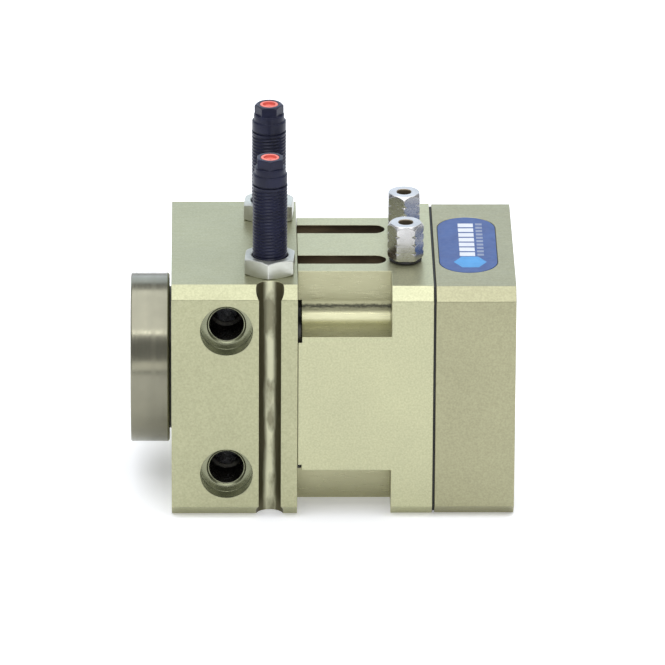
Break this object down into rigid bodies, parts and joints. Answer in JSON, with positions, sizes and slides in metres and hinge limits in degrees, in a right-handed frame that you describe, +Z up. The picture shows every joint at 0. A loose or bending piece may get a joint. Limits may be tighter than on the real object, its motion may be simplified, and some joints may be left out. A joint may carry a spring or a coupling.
{
  "type": "pneumatic gripper with swivel drive",
  "caption": "Compact pneumatic gripper with a rack-and-pinion swivel drive, upright shock absorbers, round gripper head, milled cylinder body and end cover.",
  "frame": {"origin": "middle of the underside of the object's box", "axes": "+X along the main axis from the gripper head to the end cover, +Z up, shock absorbers pointing up"},
  "size_m": [0.11, 0.071, 0.1055],
  "materials": {
    "anodised_body": "hard anodised, satin, champagne to olive",
    "anodised_cover": "hard anodised, satin, browner than the body",
    "head_metal": "hard anodised, turned, grey-brown",
    "steel": "ground",
    "nickel": "nickel plated",
    "black_oxide": "blued steel, dark",
    "brass": "machined",
    "rubber": "matt",
    "magnet": "plastic-bonded magnet",
    "red_plastic": "matt",
    "label_film": "printed film, dark blue"
  },
  "bodies": {
    "housing": {"bore_plug_front": "brass", "bore_plug_rear": "brass", "cover_gasket": "rubber", "cover_screw_1": "black_oxide", "cover_screw_2": "black_oxide", "cover_screw_3": "black_oxide", "cover_screw_4": "black_oxide", "cylinder_body": "anodised_body", "damper_body_front": "black_oxide", "damper_body_rear": "black_oxide", "damper_nut_front": "steel", "damper_nut_rear": "steel", "damper_plug_front": "red_plastic", "damper_plug_rear": "red_plastic", "end_cover": "anodised_cover", "fitting_body_front": "nickel", "fitting_body_rear": "nickel", "fitting_seal_front": "rubber", "fitting_seal_rear": "rubber", "front_bearing_balls": "brass", "front_bearing_outer": "steel", "grip_spring": "steel", "housing_screw_1": "black_oxide", "housing_screw_2": "black_oxide", "housing_screw_3": "black_oxide", "housing_screw_4": "black_oxide", "label_plate": "label_film", "rear_bearing_balls": "brass", "rear_bearing_outer": "steel", "rod_bush": "brass", "rod_seal": "rubber", "swivel_housing": "anodised_body"},
    "head": {"head_body": "head_metal", "head_plate": "head_metal", "head_plate_screw_1": "black_oxide", "head_plate_screw_2": "black_oxide", "head_drive_screw_1": "black_oxide", "head_drive_screw_2": "black_oxide", "spindle": "steel", "pinion_gear": "steel", "spacer_sleeve": "steel", "front_bearing_inner": "steel", "rear_bearing_inner": "steel"},
    "front_rack": {"rack_piston_front": "steel", "rack_seal_front": "rubber"},
    "rear_rack": {"rack_piston_rear": "steel", "rack_seal_rear": "rubber"},
    "piston": {"grip_piston": "anodised_body", "piston_seal": "rubber", "piston_magnet": "magnet", "piston_nut": "steel", "grip_rod": "steel"},
    "wedge": {"wedge": "steel"},
    "upper_jaw": {"jaw_upper": "steel"},
    "lower_jaw": {"jaw_lower": "steel"},
    "front_damper_rod": {"damper_rod_front": "steel"},
    "rear_damper_rod": {"damper_rod_rear": "steel"}
  },
  "joints": [
    {"name": "swivel", "type": "hinge", "parent": "housing", "child": "head", "pos_m": [-0.0438, 0, 0.0354], "axis": [1, 0, 0], "range_deg": [0, 90]},
    {"name": "front_rack_slide", "type": "slide", "parent": "housing", "child": "front_rack", "axis": [0, 0, 1], "range_m": [-0.0236, 0]},
    {"name": "rear_rack_slide", "type": "slide", "parent": "housing", "child": "rear_rack", "axis": [0, 0, 1], "range_m": [0, 0.0236]},
    {"name": "grip", "type": "slide", "parent": "housing", "child": "piston", "axis": [-1, 0, 0], "range_m": [0, 0.004], "stiffness_N_per_m": 800, "springref_m": -0.004, "deforming": ["grip_spring"]},
    {"name": "wedge_slide", "type": "slide", "parent": "head", "child": "wedge", "axis": [-1, 0, 0], "range_m": [0, 0.004]},
    {"name": "upper_jaw_slide", "type": "slide", "parent": "head", "child": "upper_jaw", "axis": [0, 0, 1], "range_m": [0, 0.002]},
    {"name": "lower_jaw_slide", "type": "slide", "parent": "head", "child": "lower_jaw", "axis": [0, 0, -1], "range_m": [0, 0.002]},
    {"name": "front_damper", "type": "slide", "parent": "housing", "child": "front_damper_rod", "axis": [0, 0, 1], "range_m": [0, 0.0055], "stiffness_N_per_m": 150, "springref_m": -0.004},
    {"name": "rear_damper", "type": "slide", "parent": "housing", "child": "rear_damper_rod", "axis": [0, 0, 1], "range_m": [0, 0.0055], "stiffness_N_per_m": 150, "springref_m": -0.004}
  ],
  "couplings": [
    {"joint": "front_rack_slide", "follows": "swivel", "m_per_rad": -0.015},
    {"joint": "rear_rack_slide", "follows": "swivel", "m_per_rad": 0.015},
    {"joint": "wedge_slide", "follows": "grip", "ratio": 1},
    {"joint": "upper_jaw_slide", "follows": "grip", "ratio": 0.5},
    {"joint": "lower_jaw_slide", "follows": "grip", "ratio": 0.5}
  ]
}
